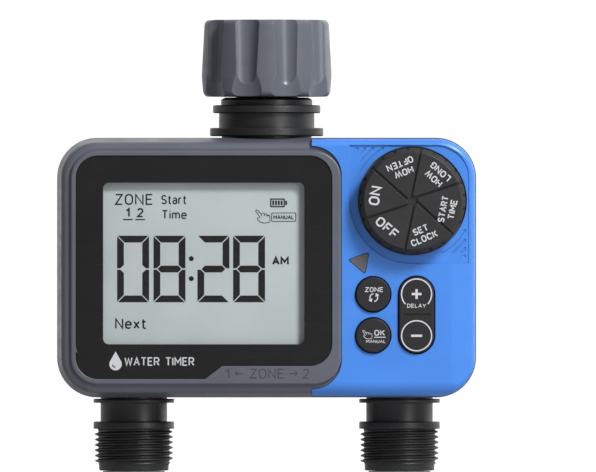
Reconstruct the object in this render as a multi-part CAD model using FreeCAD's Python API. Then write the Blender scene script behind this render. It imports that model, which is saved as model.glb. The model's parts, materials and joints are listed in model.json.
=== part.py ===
"""Two-zone drip irrigation timer that hangs from a garden tap, in millimetres.

+X is to the right and +Y goes away from the person who reads the display; +Z is up.
The origin is on the axis of the inlet, at the mouth of the swivel nut.
"""
import FreeCAD
import Part
import math
import os

from FreeCAD import Vector

os.makedirs("parts", exist_ok=True)

# ---------------------------------------------------------------- driving dimensions
BODY_WIDTH = 142.0
BODY_HEIGHT = 88.0
BODY_TOP = -40.0                      # top face of the housing
MID_Z = BODY_TOP - BODY_HEIGHT / 2    # height of the housing's centre
BODY_BOTTOM = BODY_TOP - BODY_HEIGHT
CORNER_R = 13.6
WALL = 2.5
BACK_Y = 27.0                         # back face; the two housings meet at y = 0
SHELL_FRONT_Y = -29.6                 # front of the grey shell, outside the display frame
SHELL_DRAFT = 1.8                     # how far the shell's sides lean in towards its front
DRAFT_START_Y = -14.0
LOW_ROUNDING = 5.0                    # the lower front edge is rounder than the others
BEZEL_FRONT_Y = -31.0                 # raised frame round the display
COVER_FRONT_Y = -30.6                 # blue side cover
COVER_BACK_Y = -13.0
COVER_THICK = 2.0
COVER_SLOPE_X = 62.5                  # right of here the cover's front falls back
COVER_SLOPE_DROP = 0.6                # over the last 8.5 mm
COVER_INSET = 0.5                     # the grey housing shows all round the cover
LEFT_INNER_Y = -27.5                  # inner face of the front wall behind the display
RIGHT_INNER_Y = -26.0                 # inner face of the front wall behind the keys
GAP = 0.1                             # assembly gap between fixed pieces

# G3/4 garden thread
THREAD_CREST_R = 26.441 / 2
THREAD_ROOT_R = 24.117 / 2
THREAD_PITCH = 1.814

# swivel nut and inlet
NUT_R = 22.4
NUT_HEIGHT = 26.0
NUT_FLUTES = 10
NUT_FLUTE_AXIS = 24.7                 # distance of a flute's centre from the nut's axis
NUT_FLUTE_R = 4.35                    # at the flute's lower end; it widens towards the mouth
NUT_FLUTE_LOW_Z = -20.2
NUT_HEEL_R = 12.0                     # shallower hollow below each flute
NUT_HEEL_TILT = 11.0
NUT_HEEL_DEEPEST = 21.15              # distance of the heel's floor from the nut's axis
NUT_BORE_R = 12.9                     # clear bore below the thread
NUT_CREST_R = 12.2                    # crests of the inner thread
NUT_THREAD_DEPTH = 14.5
NUT_LIP_Z = -22.5
NUT_LIP_R = 10.65
SPIGOT_TUBE_R = 10.55
SPIGOT_BORE_R = 7.8

# display
BEZEL_LEFT = -66.2
BEZEL_RIGHT = 25.3
BEZEL_HALF_HEIGHT = 39.5
BEZEL_R = 9.2
SEAM_HALF_HEIGHT = 41.0               # line between the grey shell and the blue cover
SEAM_R = 10.0
WINDOW = dict(left=-64.4, right=22.0, top=37.7, bottom=-37.5, radius=7.4)
WINDOW_FRONT_Y = -30.5
WINDOW_BACK_Y = -29.2
TAB_START_X = -20.8                   # where the window's lower edge steps up
TAB_END_X = -15.0
TAB_RISE = 4.4
LCD = dict(left=-57.4, right=15.0, top=30.9, bottom=-28.1)
LCD_FRONT_Y = -27.5
LCD_BACK_Y = -26.2

# dial and keys, heights measured from the housing's centre
DIAL_X = 49.3
DIAL_Z = MID_Z + 22.6
DIAL_R = 17.85
DIAL_FACE_R = 16.65
DIAL_WELL_R = 18.4
DIAL_FRONT_Y = -39.0
DIAL_BACK_Y = -28.9
DIAL_NOTCHES = 24
DIAL_NOTCH_R = 0.7
DIAL_GROOVE = 1.0                     # depth of the grooves between the sectors
SECTOR_START_DEG = 20.5
SHAFT_R = 2.95
RECESS_DEPTH = 0.65                   # of the field round the dial
KEY_X = 36.05
KEY_R = 5.85
KEY_HOLE_R = 6.2
KEY_FRONT_Y = -31.8
ZONE_KEY_Z = MID_Z - 9.0
OK_KEY_Z = MID_Z - 22.9
ROCKER_X = 50.7
ROCKER_Z = MID_Z - 15.95
ROCKER_WIDTH = 11.9
ROCKER_HEIGHT = 25.8
ROCKER_HOLE_GAP = 0.4
ROCKER_PIVOT_Y = -24.9
SWITCH_SPOTS = [(KEY_X, ZONE_KEY_Z), (KEY_X, OK_KEY_Z),
                (ROCKER_X, ROCKER_Z + 8.2), (ROCKER_X, ROCKER_Z - 8.2)]

# electronics
BOARD_FRONT_Y = -20.5
BOARD_THICK = 1.6

# water side
OUTLET_X = 45.1
MANIFOLD_FLOOR_Z = -113.0
VALVE_TOP_Z = -97.0
VALVE_R = 15.0
VALVE_FLANGE_R = 17.8
DIAPHRAGM_THICK = 2.0
BONNET_THICK = 7.0
GUIDE_BORE_R = 4.05
PLUNGER_R = 4.0
PLUNGER_TOP_Z = -75.0
OUTLET_BORE_R = 8.5                   # below the housing; OUTLET_STEM_BORE_R above it
OUTLET_STEM_BORE_R = 6.0
SOCKET_R = 9.25
BONNET_SCREW_RADIUS = 16.4            # distance of the bonnet's screws from the valve's axis
CROSS_PIPE_Z = -105.0

# battery bay
BAY_HALF_WIDTH = 16.5
BAY_TOP = -63.0
BAY_BOTTOM = -121.0
BAY_FRONT_Y = 10.0
DOOR_FRONT_Y = 24.8                   # inner face of the door
DOOR_HALF_WIDTH = 20.3
DOOR_TOP = -51.5
DOOR_BOTTOM = -124.6
DOOR_SCREW_Z = -57.0
CELL_R = 7.1
CELL_X = 7.9
CELL_Y = 17.35
CELL_LENGTH = 50.5

CASE_SCREWS = [(sx * x, z) for sx in (-1, 1) for x, z in
               ((62.5, -47.2), (62.5, -120.8), (25.5, -45.6), (25.5, -122.4))]
CASE_SEAT_Y = 12.0                    # where the case screws' heads sit
BOARD_SCREWS = [(-58.5, -48.5), (-58.5, -119.5), (22.5, -49.5), (60.5, -117.5)]


# ---------------------------------------------------------------- small helpers
def save(node, *solids):
    """Write one sub-part; several separate solids share the node as a group."""
    shape = solids[0] if len(solids) == 1 else Part.makeCompound(list(solids))
    shape.exportStep("parts/" + node + ".step")


def cyl(radius, z_low, z_high, x=0.0, y=0.0):
    """Upright cylinder between two heights."""
    return Part.makeCylinder(radius, z_high - z_low, Vector(x, y, z_low), Vector(0, 0, 1))


def rod(radius, y_front, y_back, x, z):
    """Cylinder along Y between two depths."""
    return Part.makeCylinder(radius, y_back - y_front, Vector(x, y_front, z), Vector(0, 1, 0))


def bar(radius, x_low, x_high, y, z):
    """Cylinder along X."""
    return Part.makeCylinder(radius, x_high - x_low, Vector(x_low, y, z), Vector(1, 0, 0))


def box(x_low, x_high, y_low, y_high, z_low, z_high):
    return Part.makeBox(x_high - x_low, y_high - y_low, z_high - z_low, Vector(x_low, y_low, z_low))


def turned(points, x=0.0, y=0.0):
    """Solid of revolution about a vertical axis from (radius, z) points."""
    wire = Part.makePolygon([Vector(r, 0, z) for r, z in points + points[:1]])
    solid = Part.Face(wire).revolve(Vector(0, 0, 0), Vector(0, 0, 1), 360)
    solid.translate(Vector(x, y, 0))
    return solid


def turned_y(points, x, z):
    """Solid of revolution about an axis along Y from (radius, y) points."""
    wire = Part.makePolygon([Vector(r, y, 0) for r, y in points + points[:1]])
    solid = Part.Face(wire).revolve(Vector(0, 0, 0), Vector(0, 1, 0), 360)
    solid.translate(Vector(x, 0, z))
    return solid


def rounded_wire(left, right, bottom, top, radius, y):
    """Rounded rectangle in the plane at depth y."""
    corners = [(right - radius, top - radius, 0), (left + radius, top - radius, 90),
               (left + radius, bottom + radius, 180), (right - radius, bottom + radius, 270)]
    edges = []
    ends = []
    for cx, cz, start in corners:
        at = [Vector(cx + radius * math.cos(math.radians(start + a)), y,
                     cz + radius * math.sin(math.radians(start + a))) for a in (0, 45, 90)]
        ends.append((at[0], at[2]))
        edges.append(Part.Arc(*at).toShape())
    for (_, finish), (begin, _) in zip(ends, ends[1:] + ends[:1]):
        if finish.distanceToPoint(begin) > 1e-6:
            edges.append(Part.LineSegment(finish, begin).toShape())
    return Part.Wire(Part.__sortEdges__(edges))


def rounded_block(left, right, bottom, top, radius, y_front, y_back):
    """Rounded rectangle extruded from y_front to y_back."""
    face = Part.Face(rounded_wire(left, right, bottom, top, radius, y_front))
    return face.extrude(Vector(0, y_back - y_front, 0))


def body_block(inset, y_front, y_back):
    """The housing's outline, moved in by inset, between two depths."""
    half = BODY_WIDTH / 2 - inset
    return rounded_block(-half, half, BODY_BOTTOM + inset, BODY_TOP - inset,
                         CORNER_R - inset, y_front, y_back)


def low_corner(inset, y_front, radius):
    """Tool that rounds the lower front edge of the body's outline."""
    low = BODY_BOTTOM + inset
    block = box(-90, 90, y_front - 1, y_front + radius, low - 1, low + radius)
    return block.cut(bar(radius, -91, 91, y_front + radius, low + radius))


def drafted_body():
    """The grey shell's outline, whose sides lean in towards the front."""
    wires = []
    for inset, y in ((0, DRAFT_START_Y), (SHELL_DRAFT, SHELL_FRONT_Y)):
        half = BODY_WIDTH / 2 - inset
        wires.append(rounded_wire(-half, half, BODY_BOTTOM + inset, BODY_TOP - inset, CORNER_R - inset, y))
    front = Part.makeLoft(wires, True, True)
    front = front.makeFillet(2.5, edges_in_plane(front, SHELL_FRONT_Y))
    return front.fuse(body_block(0, DRAFT_START_Y, 0)).removeSplitter()


def edges_in_plane(shape, y):
    """Edges that lie wholly at one depth."""
    return [e for e in shape.Edges
            if abs(e.BoundBox.YMin - y) < 1e-4 and abs(e.BoundBox.YMax - y) < 1e-4]


def ring(outer, inner, z_low, z_high, x=0.0, y=0.0):
    return cyl(outer, z_low, z_high, x, y).cut(cyl(inner, z_low - 1, z_high + 1, x, y))


def torus(major, minor, x, z):
    """O-ring round a vertical axis."""
    return Part.makeTorus(major, minor, Vector(x, 0, z), Vector(0, 0, 1))


def coil_spring(radius, wire_r, pitch, turns, place):
    """Spring of faceted wire whose centre line starts at the height of place."""
    steps, sides = 18, 8
    rings = []
    for step in range(int(turns * steps) + 1):
        angle = 2 * math.pi * step / steps
        out = Vector(math.cos(angle), math.sin(angle), 0)
        centre = place + out * radius + Vector(0, 0, pitch * step / steps)
        rings.append([centre + out * (wire_r * math.cos(2 * math.pi * k / sides))
                      + Vector(0, 0, wire_r * math.sin(2 * math.pi * k / sides)) for k in range(sides)])
    corners = []
    for low, high in zip(rings, rings[1:]):
        for k in range(sides):
            after = (k + 1) % sides
            corners += [(low[k], low[after], high[after]), (low[k], high[after], high[k])]
    for end in (rings[0], rings[-1]):
        corners += [(end[0], end[k], end[k + 1]) for k in range(1, sides - 1)]
    faces = [Part.Face(Part.makePolygon([p, q, r, p])) for p, q, r in corners]
    shell = Part.makeShell(faces)
    shell.sewShape()
    return Part.Solid(shell)


# ---------------------------------------------------------------- housing parts
def grey_region(spread, y_front, y_back):
    """Everything on the display's side of the line between housing and side cover."""
    right = BEZEL_RIGHT + spread
    radius = SEAM_R + spread
    rest = box(-90, right - radius, y_front, y_back, BODY_BOTTOM - 10, BODY_TOP + 10)
    frame = rounded_block(right - 60, right, MID_Z - SEAM_HALF_HEIGHT - spread,
                          MID_Z + SEAM_HALF_HEIGHT + spread, radius, y_front, y_back)
    return rest.fuse(frame)


def window_block(spread, y_front, y_back):
    """The window's outline, whose lower edge steps up to make room for the zone tab."""
    w = WINDOW
    upper = rounded_block(w["left"] - spread, w["right"] + spread,
                          MID_Z + w["bottom"] + TAB_RISE - spread, MID_Z + w["top"] + spread,
                          w["radius"] + spread, y_front, y_back)
    full = rounded_block(w["left"] - spread, w["right"] + spread, MID_Z + w["bottom"] - spread,
                         MID_Z + w["top"] + spread, w["radius"] + spread, y_front, y_back)
    low = MID_Z + w["bottom"]
    slope = (TAB_END_X - TAB_START_X) / TAB_RISE
    reach = 2 * TAB_RISE
    corners = [(-90, low - reach), (TAB_START_X + spread - reach * slope, low - reach),
               (TAB_START_X + spread + reach * slope, low + reach), (-90, low + reach)]
    wire = Part.makePolygon([Vector(x, y_front, z) for x, z in corners + corners[:1]])
    left_of_tab = Part.Face(wire).extrude(Vector(0, y_back - y_front, 0))
    return upper.fuse(full.common(left_of_tab)).removeSplitter()


def lcd_block(spread, y_front, y_back):
    """The LCD panel's outline, moved out by spread."""
    return box(LCD["left"] - spread, LCD["right"] + spread, y_front, y_back,
               MID_Z + LCD["bottom"] - spread, MID_Z + LCD["top"] + spread)


def rocker_block(spread, y_front, y_back):
    """The rocker's stadium outline, moved out by spread."""
    half_width = ROCKER_WIDTH / 2 + spread
    half_height = ROCKER_HEIGHT / 2 + spread
    return rounded_block(ROCKER_X - half_width, ROCKER_X + half_width, ROCKER_Z - half_height,
                         ROCKER_Z + half_height, half_width - 0.01, y_front, y_back)


def front_housing():
    """Grey shell with the display frame and the ledge that the side cover sits on."""
    core_inset = COVER_INSET + COVER_THICK + GAP
    core_front = COVER_FRONT_Y + COVER_THICK + GAP
    side_step_x = 12.8
    shelf_y = COVER_BACK_Y + WALL

    outer = drafted_body().cut(low_corner(0, SHELL_FRONT_Y, LOW_ROUNDING))
    bezel = rounded_block(BEZEL_LEFT, BEZEL_RIGHT, MID_Z - BEZEL_HALF_HEIGHT,
                          MID_Z + BEZEL_HALF_HEIGHT, BEZEL_R, BEZEL_FRONT_Y, LEFT_INNER_Y)
    bezel = bezel.makeFillet(0.7, edges_in_plane(bezel, BEZEL_FRONT_Y))
    bezel = bezel.cut(window_block(GAP, BEZEL_FRONT_Y - 1, WINDOW_BACK_Y))
    rim = [e for e in edges_in_plane(bezel, BEZEL_FRONT_Y)
           if e.BoundBox.XMin > WINDOW["left"] - 0.2 and e.BoundBox.XMax < WINDOW["right"] + 0.2
           and e.BoundBox.ZMin > MID_Z + WINDOW["bottom"] - 0.2
           and e.BoundBox.ZMax < MID_Z + WINDOW["top"] + 0.2]
    bezel = bezel.makeChamfer(0.2, rim)
    left = outer.common(grey_region(0, -40, COVER_BACK_Y))
    shape = left.fuse([bezel, outer.common(box(-90, 90, COVER_BACK_Y, 0, -200, 0)),
                       body_block(core_inset, core_front, COVER_BACK_Y).cut(
                           low_corner(core_inset, core_front, LOW_ROUNDING - COVER_THICK - GAP))])
    shape = shape.cut(window_block(GAP, BEZEL_FRONT_Y - 1, WINDOW_BACK_Y))

    step_y = -23.0
    inner_left = body_block(WALL + SHELL_DRAFT, LEFT_INNER_Y, step_y).fuse(body_block(WALL, step_y, 1))
    inner_left = inner_left.common(box(-90, side_step_x, -40, 1, -200, 0))
    inner_right = body_block(core_inset + WALL, RIGHT_INNER_Y, shelf_y)
    inner_right = inner_right.common(box(side_step_x - 1, 90, -40, 1, -200, 0))
    shape = shape.cut([inner_left, inner_right, body_block(WALL, shelf_y, 1)])

    bosses = [rod(3.6, -12, 0, x, z) for x, z in CASE_SCREWS]
    bosses += [rod(3.0, -27.6, BOARD_FRONT_Y, x, z) for x, z in BOARD_SCREWS]
    for side in (-1, 1):
        x_mid = ROCKER_X + side * 7.6
        bosses.append(box(x_mid - 1.1, x_mid + 1.1, RIGHT_INNER_Y - 0.5, -23.6,
                          ROCKER_Z - 1.8, ROCKER_Z + 1.8))
    shape = shape.fuse(bosses)

    holes = [rod(1.45, -10.8, 1, x, z) for x, z in CASE_SCREWS]
    holes += [rod(1.15, -25.5, BOARD_FRONT_Y + 1, x, z) for x, z in BOARD_SCREWS]
    holes += [rod(6.5, -35, -25, KEY_X, z) for z in (ZONE_KEY_Z, OK_KEY_Z)]
    holes += [rod(3.9, -35, -25, DIAL_X, DIAL_Z), lcd_block(0.3, -40, -25),
              rocker_block(ROCKER_HOLE_GAP, -35, -25),
              bar(0.95, ROCKER_X - 8.4, ROCKER_X + 8.4, ROCKER_PIVOT_Y, ROCKER_Z)]
    return shape.cut(holes + fitting_holes())


def fitting_holes():
    """Round holes for the inlet spigot and the two outlets, with room for their inner flanges."""
    holes = [cyl(15.35, BODY_TOP - 6, BODY_TOP + 5), cyl(17.3, BODY_TOP - 6, BODY_TOP - WALL)]
    for x in (-OUTLET_X, OUTLET_X):
        holes += [cyl(11.4, BODY_BOTTOM - 5, BODY_BOTTOM + 6, x),
                  cyl(13.8, BODY_BOTTOM + WALL, BODY_BOTTOM + 6, x)]
    return holes


def rear_housing():
    """Rear shell with the battery bay, the recess for its door and the screw bosses."""
    outer = body_block(0, 0, BACK_Y)
    outer = outer.makeFillet(4.0, edges_in_plane(outer, BACK_Y))
    shape = outer.cut(body_block(WALL, -1, BACK_Y - WALL))
    ledge_front = BACK_Y - WALL - 3.0
    ledge_back = DOOR_FRONT_Y - GAP
    solids = [box(-DOOR_HALF_WIDTH - 2.2, DOOR_HALF_WIDTH + 2.2, ledge_front, ledge_back,
                  BODY_BOTTOM + 2, DOOR_TOP + 2),
              box(-BAY_HALF_WIDTH - 1.8, BAY_HALF_WIDTH + 1.8, BAY_FRONT_Y - 1.2, ledge_back,
                  BAY_BOTTOM - 2, BAY_TOP + 2),
              rod(4.0, 14.0, ledge_back, 0, DOOR_SCREW_Z)]
    solids += [rod(4.2, 0, BACK_Y - 1, x, z) for x, z in CASE_SCREWS]
    shape = shape.fuse(solids)

    recess = rounded_block(-DOOR_HALF_WIDTH - 0.2, DOOR_HALF_WIDTH + 0.2, DOOR_BOTTOM - 0.2,
                           DOOR_TOP + 0.2, 3.0, ledge_back, BACK_Y + 5)
    bay = box(-BAY_HALF_WIDTH, BAY_HALF_WIDTH, BAY_FRONT_Y, BACK_Y, BAY_BOTTOM, BAY_TOP)
    holes = [recess, bay, rod(1.55, 14.8, BACK_Y, 0, DOOR_SCREW_Z), gasket_ring(0.8, 1.8, 0.9),
             door_gasket_ring(17.6, 19.2, 23.6)]
    for x, z in CASE_SCREWS:
        holes += [rod(1.6, -1, 13, x, z), rod(3.0, CASE_SEAT_Y, BACK_Y + 5, x, z)]
    for row in range(6):
        z = MID_Z + 21 - row * 3.0
        for side in (-1, 1):
            x_mid = side * 45
            holes.append(box(x_mid - 15, x_mid + 15, BACK_Y - 0.5, BACK_Y + 1, z - 0.6, z + 0.6))
    return shape.cut(holes + fitting_holes())


def gasket_ring(inset_out, inset_in, depth):
    """Frame-shaped strip in the rear housing's rim."""
    strip = body_block(inset_out, 0, depth).cut(body_block(inset_in, -1, depth + 1))
    spots = [(x, BODY_BOTTOM, 12.2) for x in (-OUTLET_X, OUTLET_X)] + [(0, BODY_TOP, 16.2)]
    return strip.cut([cyl(r, z - 8, z + 8, x) for x, z, r in spots])


def door_gasket_ring(half_in, half_out, y_front):
    """Rectangular strip round the battery bay, under the door."""
    high = half_out - BAY_HALF_WIDTH
    low = half_in - BAY_HALF_WIDTH
    outer = rounded_block(-half_out, half_out, BAY_BOTTOM - high, BAY_TOP + high, 2.5,
                          y_front, DOOR_FRONT_Y - GAP)
    return outer.cut(rounded_block(-half_in, half_in, BAY_BOTTOM - low, BAY_TOP + low, 1.2,
                                   y_front - 1, DOOR_FRONT_Y + 1))


def dial_recess():
    """Outline of the shallow square field round the dial."""
    left = DIAL_X - 21.3
    low = DIAL_Z - 21.3
    right = BODY_WIDTH / 2 - 2.6
    top = BODY_TOP - 2.6
    r_low, r_top = 21.3, 11.0
    y = COVER_FRONT_Y - 1

    def arc(cx, cz, radius, start):
        return Part.Arc(*[Vector(cx + radius * math.cos(math.radians(start + a)), y,
                                 cz + radius * math.sin(math.radians(start + a)))
                          for a in (0, 45, 90)]).toShape()

    def line(x0, z0, x1, z1):
        return Part.LineSegment(Vector(x0, y, z0), Vector(x1, y, z1)).toShape()

    edges = [line(left, DIAL_Z, left, top), line(left, top, right - r_top, top),
             arc(right - r_top, top - r_top, r_top, 0), line(right, top - r_top, right, low),
             line(right, low, DIAL_X, low), arc(DIAL_X, DIAL_Z, r_low, 180)]
    face = Part.Face(Part.Wire(Part.__sortEdges__(edges)))
    return face.extrude(Vector(0, 1 + RECESS_DEPTH, 0))


def triangle(radius, x, z, towards_deg, y_front, y_back):
    """Upright triangular prism whose first corner points at towards_deg."""
    points = [Vector(x + radius * math.cos(math.radians(towards_deg + a)), y_front,
                     z + radius * math.sin(math.radians(towards_deg + a))) for a in (0, 120, 240)]
    return Part.Face(Part.makePolygon(points + points[:1])).extrude(Vector(0, y_back - y_front, 0))


def ripple_grooves():
    """Engraved arcs, concentric with the dial, in the two sharp corners of its recess."""
    floor = COVER_FRONT_Y + RECESS_DEPTH
    depth = 0.35
    reach = 17.6
    grooves = []
    for radius in (20.3, 22.1, 23.9, 25.7):
        band = rod(radius + 0.2, floor - 0.1, floor + depth, DIAL_X, DIAL_Z)
        band = band.cut(rod(radius - 0.2, floor - 1, floor + 1, DIAL_X, DIAL_Z))
        side = math.sqrt(radius ** 2 - reach ** 2)
        for sx, sz in ((-1, 1), (1, -1)):
            ends = sorted((DIAL_X, DIAL_X + sx * reach)) + sorted((DIAL_Z, DIAL_Z + sz * reach))
            grooves.append(band.common(box(ends[0], ends[1], -40, -20, ends[2], ends[3])))
            tip = (DIAL_X + sx * side, DIAL_Z + sz * reach)
            if sx > 0:
                tip = (DIAL_X + reach, DIAL_Z - side)
            towards = 270 if sx < 0 else 180
            grooves.append(triangle(0.75, tip[0], tip[1], towards, floor - 0.1, floor + depth))
    return grooves


def pointer_block(radius, y_front, y_back):
    """The pointer's triangle, whose sharp corner points at the dial's centre."""
    towards = math.degrees(math.atan2(DIAL_Z - (MID_Z + 1.9), DIAL_X - 31.8))
    block = triangle(radius, 31.8, MID_Z + 1.9, towards, y_front, y_back)
    upright = [e for e in block.Edges if abs(e.BoundBox.YLength - (y_back - y_front)) < 1e-4]
    return block.makeFillet(0.6, upright)


def side_cover():
    """Blue panel over the right side, with the dial's field and the key openings."""
    outer = body_block(COVER_INSET, COVER_FRONT_Y, COVER_BACK_Y)
    outer = outer.makeFillet(2.5, edges_in_plane(outer, COVER_FRONT_Y))
    outer = outer.cut(low_corner(COVER_INSET, COVER_FRONT_Y, LOW_ROUNDING))
    corners = [(COVER_SLOPE_X, COVER_FRONT_Y), (BODY_WIDTH / 2, COVER_FRONT_Y + COVER_SLOPE_DROP),
               (BODY_WIDTH / 2, COVER_FRONT_Y - 1), (COVER_SLOPE_X, COVER_FRONT_Y - 1)]
    wire = Part.makePolygon([Vector(x, y, BODY_BOTTOM - 1) for x, y in corners + corners[:1]])
    outer = outer.cut(Part.Face(wire).extrude(Vector(0, 0, BODY_HEIGHT + 2)))
    inner_inset, inner_y = COVER_INSET + COVER_THICK, COVER_FRONT_Y + COVER_THICK
    inner = body_block(inner_inset, inner_y, 0)
    shell = outer.cut(inner.cut(low_corner(inner_inset, inner_y, LOW_ROUNDING - COVER_THICK)))
    shell = shell.cut(grey_region(0.12, -40, 0))
    holes = [dial_recess(), rod(DIAL_WELL_R, -40, -20, DIAL_X, DIAL_Z),
             rod(KEY_HOLE_R, -40, -20, KEY_X, ZONE_KEY_Z), rod(KEY_HOLE_R, -40, -20, KEY_X, OK_KEY_Z),
             rocker_block(ROCKER_HOLE_GAP, -40, -20), pointer_block(4.6, -40, COVER_FRONT_Y + 0.8)]
    return shell.cut(holes).cut(ripple_grooves())


def make_housing_parts():
    save("front_housing", front_housing())
    save("side_cover", side_cover())
    save("rear_housing", rear_housing())
    save("housing_gasket", *gasket_ring(0.85, 1.75, 0.85).Solids)
    save("dial_pointer", pointer_block(4.2, COVER_FRONT_Y - 0.15, COVER_FRONT_Y + 0.75))
    save("display_window", window_block(0, WINDOW_FRONT_Y, WINDOW_BACK_Y))
    screws = []
    for x, z in CASE_SCREWS:
        screw = rod(2.75, CASE_SEAT_Y, CASE_SEAT_Y + 2.1, x, z).fuse(rod(1.4, -10, CASE_SEAT_Y + 0.1, x, z))
        screws.append(screw.cut(cross_slot(x, z, CASE_SEAT_Y + 2.1, 1.1)))
    save("case_screws", *screws)


def cross_slot(x, z, y_head, size):
    """Cross recess in a screw head whose top is at y_head, the head facing +Y."""
    bars = [box(x - a, x + a, y_head - 1.1, y_head + 0.1, z - b, z + b)
            for a, b in ((size, 0.3), (0.3, size))]
    return bars[0].fuse(bars[1])


# ---------------------------------------------------------------- dial and keys
def mode_dial():
    """Hollow knurled knob with six raised sectors set pinwheel fashion round its centre."""
    face_y, floor_y = DIAL_FRONT_Y, DIAL_FRONT_Y + DIAL_GROOVE
    dial = turned_y([(0, face_y), (DIAL_FACE_R - 0.3, face_y), (DIAL_FACE_R, face_y + 0.3),
                     (DIAL_R, face_y + 1.8), (DIAL_R, DIAL_BACK_Y), (15.6, DIAL_BACK_Y),
                     (15.6, -35.6), (5.5, -35.6), (5.5, -30.2), (0, -30.2)], DIAL_X, DIAL_Z)
    groove = box(-0.9, 20, face_y - 1, floor_y, 0.35, 1.2)
    cuts = [rod(1.8, face_y - 1, floor_y, DIAL_X, DIAL_Z), rod(SHAFT_R + 0.05, -37.0, -20, DIAL_X, DIAL_Z)]
    for index in range(6):
        turn = FreeCAD.Rotation(Vector(0, 1, 0), -(SECTOR_START_DEG - 2.5 + 60 * index))
        cuts.append(groove.transformed(FreeCAD.Placement(Vector(DIAL_X, 0, DIAL_Z), turn).toMatrix()))
    for index in range(DIAL_NOTCHES):
        angle = math.radians(SECTOR_START_DEG + 360 * index / DIAL_NOTCHES)
        cuts.append(rod(DIAL_NOTCH_R, -45, -30.0, DIAL_X + DIAL_R * math.cos(angle),
                        DIAL_Z + DIAL_R * math.sin(angle)))
    return dial.cut(cuts)


def round_key(z):
    """Round key with a collar that holds it behind the housing wall."""
    cap = rod(KEY_R, KEY_FRONT_Y, -25.5, KEY_X, z)
    cap = cap.makeFillet(0.5, edges_in_plane(cap, KEY_FRONT_Y))
    return cap.fuse(rod(6.85, RIGHT_INNER_Y + 0.1, RIGHT_INNER_Y + 0.9, KEY_X, z))


def delay_rocker():
    """Oblong key that tilts about a cross pin to either side."""
    cap = rocker_block(0, KEY_FRONT_Y, -25.3)
    cap = cap.makeFillet(0.5, edges_in_plane(cap, KEY_FRONT_Y))
    stems = [rod(1.6, -25.4, -24.75, ROCKER_X, ROCKER_Z + dz) for dz in (-8.2, 8.2)]
    pin = bar(0.9, ROCKER_X - 8.3, ROCKER_X + 8.3, ROCKER_PIVOT_Y, ROCKER_Z)
    groove = box(ROCKER_X - 4.7, ROCKER_X + 4.7, KEY_FRONT_Y - 1, KEY_FRONT_Y + 0.35,
                 ROCKER_Z - 0.35, ROCKER_Z + 0.35)
    return cap.fuse(stems + [pin]).cut(groove)


def make_controls():
    save("mode_dial", mode_dial())
    save("selector_shaft", rod(SHAFT_R, -36.9, -21.6, DIAL_X, DIAL_Z))
    save("zone_key", round_key(ZONE_KEY_Z))
    save("ok_key", round_key(OK_KEY_Z))
    save("delay_rocker", delay_rocker())


# ---------------------------------------------------------------- electronics
def main_board():
    board = rounded_block(-65, 64.5, -121.5, -46.2, 6.0, BOARD_FRONT_Y, BOARD_FRONT_Y + BOARD_THICK)
    return board.cut([rod(1.3, -30, 0, x, z) for x, z in BOARD_SCREWS])


def lcd_frame():
    """Open frame that holds the panel and its contact strips against the board."""
    return lcd_block(1.2, -25.95, -20.6).cut(lcd_block(-3.0, -30, -10))


def selector_switch():
    body = box(DIAL_X - 6.2, DIAL_X + 6.2, -24.8, BOARD_FRONT_Y, DIAL_Z - 6.2, DIAL_Z + 6.2)
    body = body.fuse(rod(3.5, -29.5, -24.7, DIAL_X, DIAL_Z))
    return body.cut(rod(SHAFT_R + 0.05, -35, -21.5, DIAL_X, DIAL_Z))


def make_electronics():
    back = BOARD_FRONT_Y + BOARD_THICK
    save("main_board", main_board())
    save("lcd_panel", lcd_block(0, LCD_FRONT_Y, LCD_BACK_Y))
    save("lcd_frame", lcd_frame())
    strips = [box(-50, 8, LCD_BACK_Y + 0.05, -20.6, z, z + 2.0)
              for z in (MID_Z + LCD["bottom"] + 3.2, MID_Z + LCD["top"] - 5.2)]
    save("contact_strips", *strips)
    save("selector_switch", selector_switch())
    switches = [box(x - 3, x + 3, -23.6, BOARD_FRONT_Y, z - 3, z + 3).fuse(rod(1.7, -24.3, -23.5, x, z))
                for x, z in SWITCH_SPOTS]
    save("tact_switches", *switches)
    save("buzzer", rod(5.0, back, back + 4.6, 22, -62).cut(rod(0.8, back + 4, back + 5, 22, -62)))
    chips = [box(-14, -2, back, back + 1.6, -80, -68), box(6, 12, back, back + 1.5, -86, -80),
             box(-40, -34, back, back + 1.5, -58, -53)]
    save("board_chips", *chips)
    save("lead_sockets", *[box(x - 3, x + 3, back, back + 4.5, -67, -62) for x in (-24, 34, 0)])
    screws = []
    for x, z in BOARD_SCREWS:
        screw = rod(2.2, back, back + 1.4, x, z).fuse(rod(1.1, -25.0, back + 0.1, x, z))
        screws.append(screw.cut(cross_slot(x, z, back + 1.4, 0.9)))
    save("board_screws", *screws)


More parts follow.
